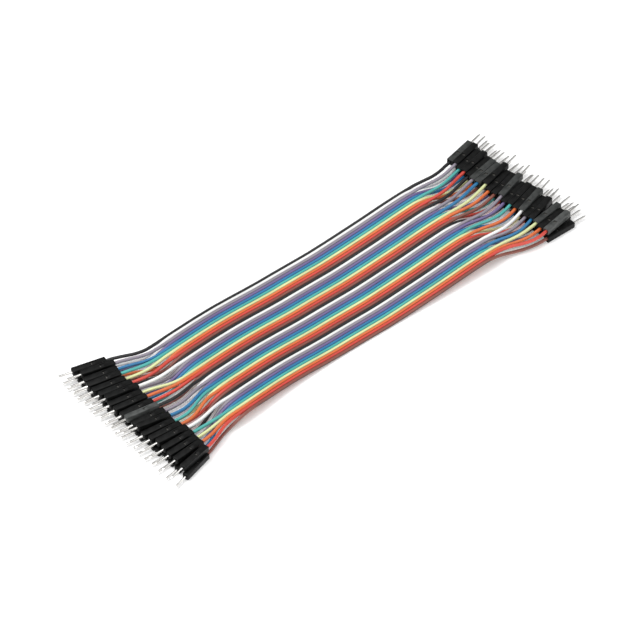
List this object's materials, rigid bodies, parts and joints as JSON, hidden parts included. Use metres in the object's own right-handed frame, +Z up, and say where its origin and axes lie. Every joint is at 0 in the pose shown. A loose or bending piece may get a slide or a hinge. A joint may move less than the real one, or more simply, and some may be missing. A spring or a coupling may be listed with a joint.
{
  "type": "breadboard jumper wire ribbon",
  "caption": "Flat rainbow ribbon of bonded breadboard jumper wires, splitting at both ends into single wires with square black plug housings and bright square pins.",
  "frame": {"origin": "middle of the footprint, on the surface the ribbon lies on", "axes": "+X along the ribbon from the left plugs to the right ones, +Y from the front edge to the back edge, +Z up"},
  "size_m": [0.2166, 0.072, 0.0069],
  "materials": {
    "jacket_black": "satin",
    "jacket_white": "satin",
    "jacket_grey": "satin",
    "jacket_purple": "satin",
    "jacket_blue": "satin",
    "jacket_green": "satin",
    "jacket_yellow": "satin",
    "jacket_orange": "satin",
    "jacket_red": "satin",
    "jacket_brown": "satin",
    "housing_plastic": "satin",
    "pin_metal": "bright plated"
  },
  "bodies": {
    "root": {"lead_01_black": "jacket_black", "lead_02_white": "jacket_white", "lead_03_grey": "jacket_grey", "lead_04_purple": "jacket_purple", "lead_05_blue": "jacket_blue", "lead_06_green": "jacket_green", "lead_07_yellow": "jacket_yellow", "lead_08_orange": "jacket_orange", "lead_09_red": "jacket_red", "lead_10_brown": "jacket_brown", "lead_11_black": "jacket_black", "lead_12_white": "jacket_white", "lead_13_grey": "jacket_grey", "lead_14_purple": "jacket_purple", "lead_15_blue": "jacket_blue", "lead_16_green": "jacket_green", "lead_17_yellow": "jacket_yellow", "lead_18_orange": "jacket_orange", "lead_19_red": "jacket_red", "lead_20_brown": "jacket_brown", "lead_21_black": "jacket_black", "lead_22_white": "jacket_white", "lead_23_grey": "jacket_grey", "lead_24_purple": "jacket_purple", "lead_25_blue": "jacket_blue", "lead_26_green": "jacket_green", "lead_27_yellow": "jacket_yellow", "lead_28_orange": "jacket_orange", "lead_29_red": "jacket_red", "lead_30_brown": "jacket_brown", "lead_31_black": "jacket_black", "lead_32_white": "jacket_white", "lead_33_grey": "jacket_grey", "lead_34_purple": "jacket_purple", "lead_35_blue": "jacket_blue", "wire_36_green": "jacket_green", "housing_36_left": "housing_plastic", "terminal_36_left": "pin_metal", "housing_36_right": "housing_plastic", "terminal_36_right": "pin_metal", "wire_37_yellow": "jacket_yellow", "housing_37_left": "housing_plastic", "terminal_37_left": "pin_metal", "housing_37_right": "housing_plastic", "terminal_37_right": "pin_metal", "wire_38_orange": "jacket_orange", "housing_38_left": "housing_plastic", "terminal_38_left": "pin_metal", "housing_38_right": "housing_plastic", "terminal_38_right": "pin_metal", "wire_39_red": "jacket_red", "housing_39_left": "housing_plastic", "terminal_39_left": "pin_metal", "housing_39_right": "housing_plastic", "terminal_39_right": "pin_metal", "wire_40_brown": "jacket_brown", "housing_40_left": "housing_plastic", "terminal_40_left": "pin_metal", "housing_40_right": "housing_plastic", "terminal_40_right": "pin_metal"}
  },
  "joints": []
}
